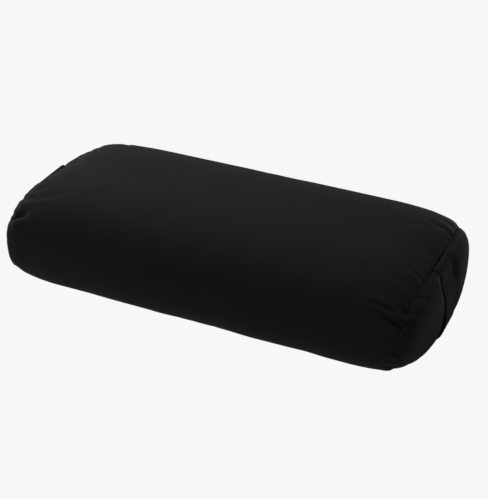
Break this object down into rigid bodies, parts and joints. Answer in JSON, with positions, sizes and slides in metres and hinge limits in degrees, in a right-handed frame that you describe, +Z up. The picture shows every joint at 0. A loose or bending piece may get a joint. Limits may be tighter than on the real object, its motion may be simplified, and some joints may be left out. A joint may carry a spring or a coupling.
{
  "type": "bolster pillow",
  "caption": "Long rectangular bolster pillow with a zipped dark cotton cover, padded end panels and a flat carry strap on each end.",
  "frame": {"origin": "middle of the flat underside, on the floor", "axes": "+X along the length, towards the end where the closed zipper's slider sits; +Y towards the back long side, which holds the zipper; +Z up"},
  "size_m": [0.6848, 0.3034, 0.164],
  "materials": {
    "cover_cloth": "matte black brushed cotton twill",
    "strap_cloth": "matte black cotton, folded double",
    "sewing_thread": "black polyester thread, slight sheen",
    "zipper_tape": "black woven tape",
    "zipper_coil": "black nylon",
    "zipper_metal": "black enamel, worn at the edges",
    "label_tape": "plain white woven tape, blank",
    "liner_cloth": "unbleached muslin",
    "liner_thread": "undyed cotton thread",
    "batting": "fluffy cotton and polyester batting",
    "foam": "open-cell upholstery foam"
  },
  "bodies": {
    "cushion": {"cover_sleeve": "cover_cloth", "end_panel_right": "cover_cloth", "end_panel_left": "cover_cloth", "end_seam_thread_right": "sewing_thread", "end_seam_thread_left": "sewing_thread", "zipper_tape_upper": "zipper_tape", "zipper_tape_lower": "zipper_tape", "zipper_coil_upper": "zipper_coil", "zipper_coil_lower": "zipper_coil", "zipper_top_stops": "zipper_metal", "zipper_bottom_stop": "zipper_metal", "zipper_topstitching": "sewing_thread", "care_label": "label_tape", "liner_sleeve": "liner_cloth", "liner_end_right": "liner_cloth", "liner_end_left": "liner_cloth", "liner_closing_stitches": "liner_thread", "batting_wrap": "batting", "batting_end_right": "batting", "batting_end_left": "batting", "foam_core": "foam"},
    "slider": {"zipper_slider": "zipper_metal"},
    "pull": {"zipper_pull": "zipper_metal"},
    "handle_right": {"handle_strap_right": "strap_cloth", "handle_stitching_right": "sewing_thread"},
    "handle_left": {"handle_strap_left": "strap_cloth", "handle_stitching_left": "sewing_thread"}
  },
  "joints": [
    {"name": "zipper_slide", "type": "slide", "parent": "cushion", "child": "slider", "axis": [-1, 0, 0], "range_m": [0, 0.46], "deforming": ["zipper_coil_upper", "zipper_coil_lower"]},
    {"name": "pull_swing", "type": "hinge", "parent": "slider", "child": "pull", "pos_m": [0.231, 0.1513, 0.08], "axis": [0, 0, -1], "range_deg": [0, 180]},
    {"name": "handle_lift_right", "type": "slide", "parent": "cushion", "child": "handle_right", "axis": [1, 0, 0], "range_m": [0, 0.01], "stiffness_N_per_m": 60},
    {"name": "handle_lift_left", "type": "slide", "parent": "cushion", "child": "handle_left", "axis": [-1, 0, 0], "range_m": [0, 0.01], "stiffness_N_per_m": 60}
  ]
}
